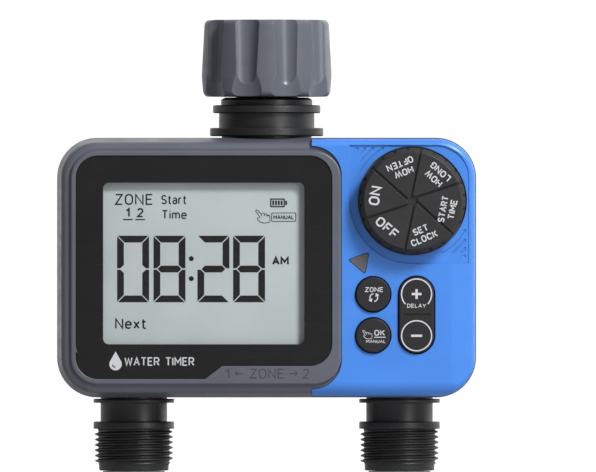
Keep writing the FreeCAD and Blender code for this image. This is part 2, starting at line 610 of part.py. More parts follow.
# ---------------------------------------------------------------- water side
def swivel_nut():
    """Hand-tightened inlet nut with ten flutes, a shallow heel below each and an inner thread."""
    nut = turned([(0, -NUT_HEIGHT), (NUT_R - 0.2, -NUT_HEIGHT), (NUT_R, -20.0),
                  (NUT_R - 0.95, 0), (0, 0)])
    bottom = [e for e in nut.Edges if abs(e.BoundBox.ZMax + NUT_HEIGHT) < 1e-4 and e.Length > 100]
    nut = nut.makeFillet(2.2, bottom)
    top = [e for e in nut.Edges if abs(e.BoundBox.ZMin) < 1e-4 and e.Length > 100]
    nut = nut.makeFillet(1.9, top)
    low_end = Vector(NUT_FLUTE_AXIS, 0, NUT_FLUTE_LOW_Z)
    scoop = Part.makeCone(NUT_FLUTE_R, NUT_FLUTE_R + 1.45, 22.2, low_end, Vector(0, 0, 1))
    scoop = scoop.fuse(Part.makeSphere(NUT_FLUTE_R, low_end))
    heel = cyl(NUT_HEEL_R, -9, 9)
    heel.rotate(Vector(0, 0, 0), Vector(0, 1, 0), NUT_HEEL_TILT)
    heel.translate(Vector(NUT_HEEL_R + NUT_HEEL_DEEPEST, 0, -21.0))
    cuts = []
    for index in range(NUT_FLUTES):
        for tool in (scoop, heel):
            cut = tool.copy()
            cut.rotate(Vector(0, 0, 0), Vector(0, 0, 1), 360.0 * index / NUT_FLUTES)
            cuts.append(cut)
    bore = [(0, 1), (NUT_CREST_R, 1), (NUT_CREST_R, -0.9)]
    for index in range(7):
        z = -0.9 - THREAD_PITCH * index
        bore += [(NUT_CREST_R + 1.1, z - 0.6), (NUT_CREST_R + 1.1, z - 0.8),
                 (NUT_CREST_R, z - 1.4), (NUT_CREST_R, z - THREAD_PITCH)]
    bore += [(NUT_CREST_R, -NUT_THREAD_DEPTH), (NUT_BORE_R, -NUT_THREAD_DEPTH), (NUT_BORE_R, NUT_LIP_Z),
             (NUT_LIP_R, NUT_LIP_Z), (NUT_LIP_R, -NUT_HEIGHT - 1), (0, -NUT_HEIGHT - 1)]
    return nut.cut(cuts).cut(turned(bore))


def inlet_spigot():
    outline = [(SPIGOT_BORE_R, -19.4), (11.9, -19.4), (11.9, -22.4), (SPIGOT_TUBE_R, -22.4),
               (SPIGOT_TUBE_R, -26.3), (14.2, -26.3), (15.5, -27.1), (15.5, -28.9), (17.9, -28.9),
               (18.25, -29.3), (18.25, -31.3), (17.9, -31.6), (16.2, -31.6), (16.2, -36.6),
               (18.9, -36.6), (19.25, -36.9), (19.25, -39.1), (18.9, -39.4), (15.25, -39.4),
               (15.25, -42.7), (17.0, -42.7), (17.0, -45.2), (10.5, -45.2), (10.5, -50.6),
               (9.3, -50.6), (9.3, -52.2), (10.5, -52.2), (10.5, -57.5), (SPIGOT_BORE_R, -57.5)]
    return turned(outline)


def inlet_filter():
    """Cup-shaped strainer that hangs in the spigot from its rim."""
    cup = turned([(7.0, -18.5), (11.7, -18.5), (11.7, -19.3), (7.5, -19.3), (7.5, -34.0), (0, -34.0),
                  (0, -33.2), (6.7, -33.2), (6.7, -18.5)])
    slots = []
    for index in range(6):
        slot = box(-9, 9, -0.7, 0.7, -32.0, -21.5)
        slot.rotate(Vector(0, 0, 0), Vector(0, 0, 1), 30.0 * index)
        slots.append(slot)
    return cup.cut(slots)


def outlet(x):
    """Threaded outlet that plugs into the manifold from below."""
    outline = [(OUTLET_STEM_BORE_R, -113.3), (9.15, -113.3), (9.15, -117.7), (7.9, -117.7),
               (7.9, -119.3), (9.15, -119.3), (9.15, -123.3), (13.5, -123.3), (13.5, -125.3),
               (11.3, -125.3), (11.3, -128.6), (13.5, -128.6), (13.7, -128.8), (13.7, -129.7),
               (13.5, -129.9), (11.3, -129.9), (11.3, -136.3), (13.4, -136.3), (13.7, -136.6),
               (13.7, -138.6), (13.4, -138.9), (THREAD_ROOT_R, -138.9)]
    for index in range(6):
        z = -139.4 - THREAD_PITCH * index
        outline += [(THREAD_ROOT_R, z), (THREAD_CREST_R, z - 0.62), (THREAD_CREST_R, z - 1.07),
                    (THREAD_ROOT_R, z - 1.69)]
    outline += [(11.8, -150.9), (11.8, -152.5), (11.4, -152.9), (OUTLET_BORE_R, -152.9),
                (OUTLET_BORE_R, -127.0), (OUTLET_STEM_BORE_R, -125.0)]
    return turned(outline, x)


def screw_ring(x, z_low, z_high, radius):
    """Four upright cylinders on a valve's screw circle."""
    reach = BONNET_SCREW_RADIUS / math.sqrt(2)
    return [cyl(radius, z_low, z_high, x + sx * reach, sy * reach) for sx in (-1, 1) for sy in (-1, 1)]


def water_manifold():
    """One moulding: inlet socket, down pipe, cross pipe and both valve chambers."""
    solids = [cyl(12.8, -61.0, -46.0), cyl(8.5, -112.0, -60.0), bar(6.0, -36, 36, 0, CROSS_PIPE_Z)]
    hollows = [cyl(10.6, -58.5, -45.0), cyl(6.5, -110.5, -58.0), bar(4.5, -36.5, 36.5, 0, CROSS_PIPE_Z)]
    for x in (-OUTLET_X, OUTLET_X):
        solids += [cyl(VALVE_R, MANIFOLD_FLOOR_Z, VALVE_TOP_Z, x),
                   cyl(VALVE_FLANGE_R, VALVE_TOP_Z - 3, VALVE_TOP_Z, x),
                   cyl(SOCKET_R + 2.2, -123.2, MANIFOLD_FLOOR_Z + 1, x)]
        solids += screw_ring(x, -104, VALVE_TOP_Z, 2.6)
        hollows += [ring(12.8, 7.8, MANIFOLD_FLOOR_Z + 2, VALVE_TOP_Z + 1, x),
                    cyl(OUTLET_STEM_BORE_R, -114, VALVE_TOP_Z + 1, x), cyl(SOCKET_R, -125, -113, x),
                    ring(8.0, 5.0, VALVE_TOP_Z - 0.1, VALVE_TOP_Z + 1, x)]
        hollows += screw_ring(x, -103.5, VALVE_TOP_Z + 1, 1.3)
    return solids[0].fuse(solids[1:]).cut(hollows)


def bonnet(x):
    """Valve cover whose upright tube guides the plunger."""
    top = VALVE_TOP_Z + BONNET_THICK
    shape = cyl(VALVE_FLANGE_R, VALVE_TOP_Z + 0.02, top, x)
    shape = shape.fuse([cyl(5.2, top - 0.5, -66.0, x)] + screw_ring(x, VALVE_TOP_Z + 0.02, top, 2.6))
    return shape.cut([cyl(14.3, VALVE_TOP_Z - 1, VALVE_TOP_Z + DIAPHRAGM_THICK, x),
                      cyl(11.5, VALVE_TOP_Z, -93.2, x), cyl(GUIDE_BORE_R, -95, -68.0, x)]
                     + screw_ring(x, -100, -80, 1.3))


def solenoid(side, x):
    """Winding, its bobbin and the steel yoke round them."""
    spool = ring(6.3, 5.3, -88.3, -68.8, x)
    spool = spool.fuse([ring(11.0, 5.3, -88.3, -86.8, x), ring(11.0, 5.3, -70.3, -68.8, x)])
    save(side + "_bobbin", spool)
    save(side + "_coil", ring(10.6, 6.35, -86.7, -70.4, x))
    yoke = box(x - 12.9, x + 12.9, -8, 8, -89.9, -67.2)
    save(side + "_yoke", yoke.cut([box(x - 11.4, x + 11.4, -9, 9, -88.4, -68.7), cyl(5.35, -100, -60, x)]))


def make_water_parts():
    save("swivel_nut", swivel_nut())
    save("inlet_spigot", inlet_spigot())
    save("inlet_filter", inlet_filter())
    save("inlet_washer", ring(11.8, 7.6, -18.4, -16.2))
    save("inlet_oring", torus(9.95, 0.6, 0, -51.4))
    save("water_manifold", water_manifold())
    screws = []
    for side, x in (("left", -OUTLET_X), ("right", OUTLET_X)):
        save(side + "_outlet", outlet(x))
        save(side + "_outlet_oring", torus(8.6, 0.62, x, -118.5))
        save(side + "_diaphragm", cyl(14.1, VALVE_TOP_Z, VALVE_TOP_Z + DIAPHRAGM_THICK - 0.03, x))
        save(side + "_bonnet", bonnet(x))
        solenoid(side, x)
        save(side + "_plunger", cyl(PLUNGER_R, -94.6, PLUNGER_TOP_Z, x))
        save(side + "_plunger_spring", coil_spring(3.0, 0.3, 1.5, 4, Vector(x, 0, -74.6)))
        shanks = screw_ring(x, -103, VALVE_TOP_Z + BONNET_THICK + 0.1, 1.25)
        heads = screw_ring(x, VALVE_TOP_Z + BONNET_THICK, VALVE_TOP_Z + BONNET_THICK + 1.7, 2.3)
        screws += [shank.fuse(head) for shank, head in zip(shanks, heads)]
    save("bonnet_screws", *screws)


# ---------------------------------------------------------------- battery bay
def cell(x, nub_up):
    """AA cell; the nub is at the top or at the bottom."""
    low = BAY_TOP - 0.6 - CELL_LENGTH if nub_up else BAY_BOTTOM + 0.6
    shape = cyl(CELL_R, low, low + CELL_LENGTH - 1.4, x, CELL_Y)
    shape = shape.makeFillet(0.5, shape.Edges)
    shape = shape.fuse(cyl(2.7, low + CELL_LENGTH - 1.6, low + CELL_LENGTH, x, CELL_Y))
    if not nub_up:
        shape = shape.mirror(Vector(x, CELL_Y, low + CELL_LENGTH / 2), Vector(0, 0, 1))
    return shape


def battery_door():
    door = rounded_block(-DOOR_HALF_WIDTH, DOOR_HALF_WIDTH, DOOR_BOTTOM, DOOR_TOP, 2.8,
                         DOOR_FRONT_Y, BACK_Y)
    door = door.makeChamfer(0.4, edges_in_plane(door, BACK_Y))
    cuts = [rod(1.7, 20, 30, 0, DOOR_SCREW_Z), rod(4.8, 25.7, 30, 0, DOOR_SCREW_Z)]
    cuts += [box(-12, 12, BACK_Y - 0.5, 30, -118.0 + 2.4 * row, -116.8 + 2.4 * row) for row in range(5)]
    return door.cut(cuts)


def door_screw():
    """Captive thumb screw with a coin slot."""
    screw = rod(4.5, 25.8, 26.9, 0, DOOR_SCREW_Z).fuse(rod(1.5, 15.0, 25.9, 0, DOOR_SCREW_Z))
    return screw.cut(box(-3.6, 3.6, 26.2, 28, DOOR_SCREW_Z - 0.6, DOOR_SCREW_Z + 0.6))


def make_battery_parts():
    save("battery_left", cell(-CELL_X, True))
    save("battery_right", cell(CELL_X, False))
    plates = []
    for x in (-CELL_X, CELL_X):
        for z in (BAY_BOTTOM + 0.05, BAY_TOP - 0.45):
            plates.append(box(x - 5.5, x + 5.5, CELL_Y - 5.5, CELL_Y + 5.5, z, z + 0.4))
    save("battery_plates", *plates)
    springs = [coil_spring(3.6, 0.35, 1.25, 4, Vector(-CELL_X, CELL_Y, BAY_BOTTOM + 0.95)),
               coil_spring(3.6, 0.35, 1.25, 4, Vector(CELL_X, CELL_Y, BAY_TOP - 6.0))]
    save("battery_springs", *springs)
    save("battery_door", battery_door())
    save("door_gasket", door_gasket_ring(17.7, 19.1, 23.65))
    save("door_screw", door_screw())


make_housing_parts()
make_controls()
make_electronics()
make_water_parts()
make_battery_parts()
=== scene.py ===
"""Looks of the two-zone drip irrigation timer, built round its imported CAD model.

Blender works in metres. Sizes and places here are in millimetres, unless a comment says otherwise.
"""
import json
import math

import bmesh
import bpy
from mathutils import Matrix, Vector


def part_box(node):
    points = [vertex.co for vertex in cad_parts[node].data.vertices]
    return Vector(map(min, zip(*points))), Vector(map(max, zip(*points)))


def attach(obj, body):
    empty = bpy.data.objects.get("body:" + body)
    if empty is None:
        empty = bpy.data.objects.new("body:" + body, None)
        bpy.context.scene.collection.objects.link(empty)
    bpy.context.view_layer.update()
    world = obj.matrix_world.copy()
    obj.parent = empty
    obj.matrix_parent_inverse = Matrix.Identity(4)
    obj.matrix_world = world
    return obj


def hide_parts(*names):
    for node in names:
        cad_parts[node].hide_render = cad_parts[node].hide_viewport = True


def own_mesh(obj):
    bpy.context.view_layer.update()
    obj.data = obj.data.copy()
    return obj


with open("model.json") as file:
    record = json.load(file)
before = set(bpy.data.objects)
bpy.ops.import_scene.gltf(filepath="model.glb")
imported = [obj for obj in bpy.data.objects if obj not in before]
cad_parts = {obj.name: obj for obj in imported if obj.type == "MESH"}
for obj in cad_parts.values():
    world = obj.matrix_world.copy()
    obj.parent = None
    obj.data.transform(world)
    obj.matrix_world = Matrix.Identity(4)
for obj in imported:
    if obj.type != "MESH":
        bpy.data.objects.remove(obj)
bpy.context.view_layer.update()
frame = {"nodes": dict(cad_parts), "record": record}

MM = 0.001
NODES = frame["nodes"]


def box_mm(node):
    """Lowest and highest corner of a CAD node at rest, each as (x, y, z)."""
    return [tuple(number / MM for number in corner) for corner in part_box(node)]


# ---------------------------------------------------------------- places read from the frame
(_, _, HOUSING_BOTTOM), (_, _, HOUSING_TOP) = box_mm("rear_housing")
MID_Z = (HOUSING_BOTTOM + HOUSING_TOP) / 2                 # height of the housing's centre
((WINDOW_LEFT, WINDOW_FRONT, WINDOW_BOTTOM),
 (WINDOW_RIGHT, WINDOW_BACK, WINDOW_TOP)) = box_mm("display_window")
BEZEL_FRONT = box_mm("front_housing")[0][1]
LCD_FRONT = box_mm("lcd_panel")[0][1]
(DIAL_LEFT, DIAL_FRONT, DIAL_BOTTOM), (DIAL_RIGHT, _, DIAL_TOP) = box_mm("mode_dial")
DIAL_X = (DIAL_LEFT + DIAL_RIGHT) / 2
DIAL_Z = (DIAL_BOTTOM + DIAL_TOP) / 2

# ---------------------------------------------------------------- sizes the frame doesn't tell
WINDOW_RADIUS = 7.4
TAB_START_X, TAB_END_X = -20.8, -15.0                      # where the window's lower edge steps up
TAB_RISE = 4.4
SCREEN = dict(left=-55.2, right=12.8, bottom=MID_Z - 25.9, top=MID_Z + 28.7, radius=2.0)
INK_DEPTH = 0.03                                           # thickness of printed marks
ENGRAVING_DEPTH = 0.04


# ---------------------------------------------------------------- materials
class Nodes:
    """A material's shader nodes, with short calls that add and link them."""

    MIX_FACTOR, MIX_FIRST, MIX_SECOND, MIX_RESULT = 0, 6, 7, 2     # colour sockets of the Mix node

    def __init__(self, name):
        self.material = bpy.data.materials.new(name)
        self.material.use_nodes = True
        self.tree = self.material.node_tree
        self.bsdf = self.tree.nodes["Principled BSDF"]
        self.place = self.add("ShaderNodeTexCoord").outputs["Object"]

    def feed(self, socket, value):
        """Links a node's output to the socket, or sets the socket's own number or colour."""
        if isinstance(value, bpy.types.NodeSocket):
            self.tree.links.new(value, socket)
        else:
            socket.default_value = value

    def give(self, node, **inputs):
        """Feeds the node's sockets, whose names have underscores in place of spaces."""
        for key, value in inputs.items():
            self.feed(node.inputs[key.replace("_", " ")], value)
        return node

    def add(self, kind, **inputs):
        return self.give(self.tree.nodes.new(kind), **inputs)

    def noise(self, scale, detail=3.0, stretch=None):
        place = self.place
        if stretch:
            place = self.add("ShaderNodeMapping", Vector=place, Scale=stretch).outputs["Vector"]
        return self.add("ShaderNodeTexNoise", Vector=place, Scale=scale, Detail=detail).outputs["Fac"]

    def ramp(self, value, low, high, out_low=0.0, out_high=1.0):
        """Value mapped from low..high to out_low..out_high, held at the ends."""
        return self.add("ShaderNodeMapRange", Value=value, From_Min=low, From_Max=high,
                        To_Min=out_low, To_Max=out_high).outputs["Result"]

    def mix(self, factor, first, second):
        node = self.tree.nodes.new("ShaderNodeMix")
        node.data_type = "RGBA"
        self.feed(node.inputs[self.MIX_FACTOR], factor)
        self.feed(node.inputs[self.MIX_FIRST], first)
        self.feed(node.inputs[self.MIX_SECOND], second)
        return node.outputs[self.MIX_RESULT]

    def math(self, operation, first, second):
        node = self.tree.nodes.new("ShaderNodeMath")
        node.operation = operation
        self.feed(node.inputs[0], first)
        self.feed(node.inputs[1], second)
        return node.outputs[0]

    def soft_normal(self, radius):
        """Normal of the surface as if its sharp edges had the given radius."""
        node = self.add("ShaderNodeBevel", Radius=radius * MM)
        node.samples = 4
        return node.outputs["Normal"]

    def edges(self, soft):
        """Near 1 along the edges, where the softened normal leaves the plain one, and 0 elsewhere."""
        plain = self.add("ShaderNodeNewGeometry").outputs["Normal"]
        node = self.tree.nodes.new("ShaderNodeVectorMath")
        node.operation = "DOT_PRODUCT"
        self.feed(node.inputs[0], soft)
        self.feed(node.inputs[1], plain)
        return self.ramp(node.outputs["Value"], 0.99, 0.82)

    def bump(self, height, strength, depth, below=None):
        """Normal bent by a height of up to depth, on top of the normal below."""
        node = self.add("ShaderNodeBump", Height=height, Strength=strength, Distance=depth * MM)
        if below:
            self.feed(node.inputs["Normal"], below)
        return node.outputs["Normal"]


def shade(color, factor):
    return tuple(min(1.0, c * factor) for c in color) + (1.0,)


def moulded(name, color, rough=0.42, grain=2600.0, depth=0.012, specular=0.5, coat=0.0, painted_edge_highlight=1.35,
            edge=0.25):
    """Injection-moulded plastic: spark-eroded grain, slow colour drift, soft edges that carry a painted
    highlight.
    """
    n = Nodes(name)
    soft = n.soft_normal(edge)
    drift = n.ramp(n.noise(38.0, 4.0), 0.3, 0.7)
    speck = n.ramp(n.noise(5200.0, 2.0), 0.35, 0.65)
    tone = n.mix(drift, shade(color, 0.93), shade(color, 1.06))
    tone = n.mix(n.ramp(speck, 0, 1, 0.0, 0.22), tone, shade(color, 0.72))
    # Painted highlight: the base colour is lightened along the edges by the given factor.
    tone = n.mix(n.math("MULTIPLY", n.edges(soft), 0.5), tone, shade(color, painted_edge_highlight))
    smear = n.ramp(n.noise(90.0, 5.0, (1.0, 1.0, 3.0)), 0.3, 0.7, rough - 0.05, rough + 0.07)
    n.give(n.bsdf, Base_Color=tone, Roughness=smear, Specular_IOR_Level=specular,
           Coat_Weight=coat, Coat_Roughness=0.12,
           Normal=n.bump(n.noise(grain, 2.0), 0.55, depth, soft))
    return n.material


def metal(name, color, rough=0.28, brushed=(1.0, 1.0, 1.0)):
    """Plated or drawn metal with fine draw marks and faint tarnish."""
    n = Nodes(name)
    tarnish = n.ramp(n.noise(240.0, 5.0), 0.45, 0.75)
    marks = n.noise(1500.0, 3.0, brushed)
    n.give(n.bsdf, Base_Color=n.mix(tarnish, shade(color, 1.0), shade(color, 0.72)), Metallic=1.0,
           Roughness=n.ramp(marks, 0.3, 0.7, rough - 0.06, rough + 0.14),
           Normal=n.bump(marks, 0.3, 0.01))
    return n.material


def ink(name, color, rough=0.45, specular=0.5):
    """Pad-printed ink with a slightly uneven film."""
    n = Nodes(name)
    film = n.ramp(n.noise(1800.0, 4.0), 0.3, 0.7)
    n.give(n.bsdf, Base_Color=n.mix(film, shade(color, 0.9), shade(color, 1.0)),
           Roughness=n.ramp(film, 0, 1, rough - 0.05, rough + 0.1), Specular_IOR_Level=specular,
           Normal=n.bump(n.noise(3000.0), 0.3, 0.006))
    return n.material


def lcd_material():
    """Reflective liquid crystal panel: pale grey-green with fine specks."""
    n = Nodes("lcd_reflector")
    cloud = n.ramp(n.noise(26.0, 2.0), 0.35, 0.65)
    fine = n.ramp(n.noise(7000.0, 1.0), 0.3, 0.7)
    tone = n.mix(cloud, (0.413, 0.449, 0.449, 1), (0.430, 0.468, 0.468, 1))
    tone = n.mix(n.ramp(fine, 0, 1, 0, 0.25), tone, (0.377, 0.412, 0.412, 1))
    n.give(n.bsdf, Base_Color=tone, Roughness=n.ramp(cloud, 0, 1, 0.48, 0.56),
           Normal=n.bump(fine, 0.2, 0.004))
    return n.material


def pane_material():
    """Clear acrylic: see-through with light haze, and glossier the more it is looked at aslant."""
    straight_on, edge_on = 0.018, 0.95                     # share of light reflected
    n = Nodes("clear_acrylic")
    haze = n.ramp(n.noise(60.0, 4.0), 0.4, 0.7)
    clear = n.add("ShaderNodeBsdfTransparent",
                  Color=n.mix(haze, (0.985, 0.99, 0.99, 1), (0.965, 0.975, 0.975, 1)))
    gloss = n.add("ShaderNodeBsdfGlossy", Roughness=n.ramp(haze, 0, 1, 0.03, 0.08))
    slant = n.add("ShaderNodeLayerWeight", Blend=0.5).outputs["Facing"]
    both = n.tree.nodes.new("ShaderNodeMixShader")
    n.feed(both.inputs[0], n.ramp(n.math("POWER", slant, 5.0), 0, 1, straight_on, edge_on))
    n.feed(both.inputs[1], clear.outputs[0])
    n.feed(both.inputs[2], gloss.outputs[0])
    n.feed(n.tree.nodes["Material Output"].inputs["Surface"], both.outputs[0])
    n.tree.nodes.remove(n.bsdf)
    return n.material


GREY = (0.083, 0.090, 0.114)
NUT_GREY = (0.090, 0.098, 0.120)
DARK_GREY = (0.050, 0.053, 0.066)
BLUE = (0.0455, 0.200, 0.645)
BLACK = (0.0085, 0.0085, 0.0092)
DIAL_BLACK = (0.0145, 0.0145, 0.0155)
KEY_BLACK = (0.013, 0.013, 0.014)
WINDOW_BLACK = (0.0125, 0.0127, 0.0130)
WHITE = (0.50, 0.51, 0.54)

MATERIALS = {
    "grey": moulded("grey_moulding", GREY, 0.40, depth=0.010),
    "nut": moulded("nut_moulding", NUT_GREY, 0.34, depth=0.006, edge=0.4),
    "dark_grey": moulded("dark_grey_moulding", DARK_GREY, 0.46, depth=0.018),
    "blue": moulded("blue_moulding", BLUE, 0.36, depth=0.006, painted_edge_highlight=1.15),
    "fitting": moulded("black_fitting", BLACK, 0.38, depth=0.008, painted_edge_highlight=2.2),
    "dial": moulded("black_dial", DIAL_BLACK, 0.42, 1900.0, 0.022, 0.42, painted_edge_highlight=2.4),
    "key": moulded("black_keys", KEY_BLACK, 0.52, 1700.0, 0.03, 0.3, painted_edge_highlight=1.9),
    "window": moulded("window_print", WINDOW_BLACK, 0.22, depth=0.001, specular=0.2, painted_edge_highlight=1.0, edge=0.1),
    "pointer": moulded("pointer_moulding", (0.088, 0.085, 0.088), 0.45, depth=0.01),
    "white": moulded("natural_moulding", (0.62, 0.62, 0.60), 0.42),
    "rubber": moulded("elastomer", (0.018, 0.018, 0.019), 0.72, 1500.0, 0.03, 0.3),
    "steel": metal("plated_steel", (0.62, 0.62, 0.61), 0.27, (1.0, 1.0, 0.1)),
    "copper": metal("copper_winding", (0.72, 0.33, 0.16), 0.3, (0.05, 0.05, 4.0)),
    "board": moulded("solder_mask", (0.015, 0.16, 0.06), 0.3, 900.0, 0.02, coat=0.4),
    "cell": moulded("cell_sleeve", (0.09, 0.10, 0.12), 0.22, 1200.0, 0.004, coat=0.5),
    "lcd": lcd_material(),
    "pane": pane_material(),
    "segment": ink("lcd_segments", (0.010, 0.009, 0.010), 0.6, 0.12),
    "white_ink": ink("white_print", WHITE),
    "engraving": ink("engraved_marks", (0.032, 0.034, 0.042), 0.6),
}

NODE_MATERIALS = {
    "grey": ["front_housing"],
    "nut": ["swivel_nut"],
    "dark_grey": ["rear_housing", "battery_door"],
    "blue": ["side_cover"],
    "fitting": ["inlet_spigot", "left_outlet", "right_outlet", "buzzer", "lead_sockets",
                "tact_switches", "selector_switch", "board_chips"],
    "dial": ["mode_dial"],
    "key": ["zone_key", "ok_key", "delay_rocker"],
    "window": ["display_window"],
    "pointer": ["dial_pointer"],
    "white": ["lcd_frame", "water_manifold", "left_bonnet", "right_bonnet", "left_bobbin",
              "right_bobbin", "inlet_filter"],
    "rubber": ["housing_gasket", "door_gasket", "inlet_washer", "inlet_oring", "left_outlet_oring",
               "right_outlet_oring", "left_diaphragm", "right_diaphragm", "contact_strips"],
    "steel": ["case_screws", "bonnet_screws", "board_screws", "door_screw", "left_plunger",
              "right_plunger", "left_plunger_spring", "right_plunger_spring", "left_yoke",
              "right_yoke", "battery_springs", "battery_plates", "selector_shaft"],
    "copper": ["left_coil", "right_coil"],
    "board": ["main_board"],
    "cell": ["battery_left", "battery_right"],
    "lcd": ["lcd_panel"],
}


def paint_nodes():
    for key, names in NODE_MATERIALS.items():
        for name in names:
            mesh = NODES[name].data
            mesh.materials.clear()
            mesh.materials.append(MATERIALS[key])


# ---------------------------------------------------------------- flat outlines, as points (x, z)
def arc(cx, cz, radius, start, end, steps=24):
    """Points along an arc, angles in degrees, anticlockwise as seen from the front."""
    angles = [math.radians(start + (end - start) * k / steps) for k in range(steps + 1)]
    return [(cx + radius * math.cos(a), cz + radius * math.sin(a)) for a in angles]


def bow(cx, cz, rx, rz, start, end, steps=9):
    """Points along part of an ellipse, angles in degrees."""
    return [(cx + rx * x, cz + rz * z) for x, z in arc(0, 0, 1, start, end, steps)]


def ring(cx, cz, radius, width, steps):
    """Outer and inner edge of a full circle of the given line width."""
    end = 360 * steps / (steps + 1)
    return [arc(cx, cz, radius + side * width / 2, 0, end, steps) for side in (1, -1)]


def rounded_rect(left, right, bottom, top, radius, steps=12):
    points = []
    for cx, cz, start in ((right - radius, top - radius, 0), (left + radius, top - radius, 90),
                          (left + radius, bottom + radius, 180), (right - radius, bottom + radius, 270)):
        points += arc(cx, cz, radius, start, start + 90, steps)
    return points


def turned_points(points, angle, cx, cz):
    """Points rotated by angle degrees about the origin, then moved to (cx, cz)."""
    c, s = math.cos(math.radians(angle)), math.sin(math.radians(angle))
    return [(cx + x * c - z * s, cz + x * s + z * c) for x, z in points]


def cross_outline(cx, cz, reach, half):
    """Plus sign: arms of the given reach and half thickness."""
    quarter = [(reach, -half), (reach, half), (half, half)]
    return [(cx + x, cz + z) for turn in range(4) for x, z in turned_points(quarter, 90 * turn, 0, 0)]


def stroke(points, width):
    """Outline of an open line of constant width through the points."""
    left, right = [], []
    for index, (x, z) in enumerate(points):
        x0, z0 = points[max(0, index - 1)]
        x1, z1 = points[min(len(points) - 1, index + 1)]
        length = math.hypot(x1 - x0, z1 - z0)
        nx, nz = -(z1 - z0) / length * width / 2, (x1 - x0) / length * width / 2
        left.append((x + nx, z + nz))
        right.append((x - nx, z - nz))
    return left + right[::-1]


# ---------------------------------------------------------------- making pieces
def add_piece(name, mesh, material, body, place=Matrix.Identity(4)):
    """Links a mesh as a piece that moves with a CAD body and takes the given material."""
    mesh.materials.clear()
    mesh.materials.append(MATERIALS[material])
    piece = bpy.data.objects.new(name, mesh)
    piece.matrix_world = place
    bpy.context.scene.collection.objects.link(piece)
    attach(piece, body)
    return piece


def plate(name, loops, y_front, y_back, material, body, slot, bevel=0.0):
    """Flat plate with the given outlines, holes included."""
    curve = bpy.data.curves.new(name, "CURVE")
    curve.dimensions = "2D"
    curve.fill_mode = "BOTH"
    curve.extrude = (y_back - y_front) / 2 * MM - bevel * MM
    curve.bevel_depth = bevel * MM
    curve.bevel_resolution = 2
    curve.offset = -bevel * MM
    for points in loops:
        spline = curve.splines.new("POLY")
        spline.points.add(len(points) - 1)
        for point, (x, z) in zip(spline.points, points):
            point.co = (x * MM, z * MM, 0, 1)
        spline.use_cyclic_u = True
    flat = bpy.data.objects.new(name, curve)
    bpy.context.scene.collection.objects.link(flat)
    flat.matrix_world = (Matrix.Translation((0, (y_front + y_back) / 2 * MM, 0))
                         @ Matrix.Rotation(math.radians(90), 4, "X"))
    bpy.context.view_layer.update()
    evaluated = flat.evaluated_get(bpy.context.evaluated_depsgraph_get())
    mesh = bpy.data.meshes.new_from_object(evaluated)
    mesh.transform(flat.matrix_world)
    bpy.data.objects.remove(flat)
    return add_piece(name, mesh, material, body)


# ---------------------------------------------------------------- lettering
OVAL_TOP, OVAL_LOW = (0.31, 0.69, 0.31, 0.31), (0.31, 0.31, 0.31, 0.31)    # the two ends of an O

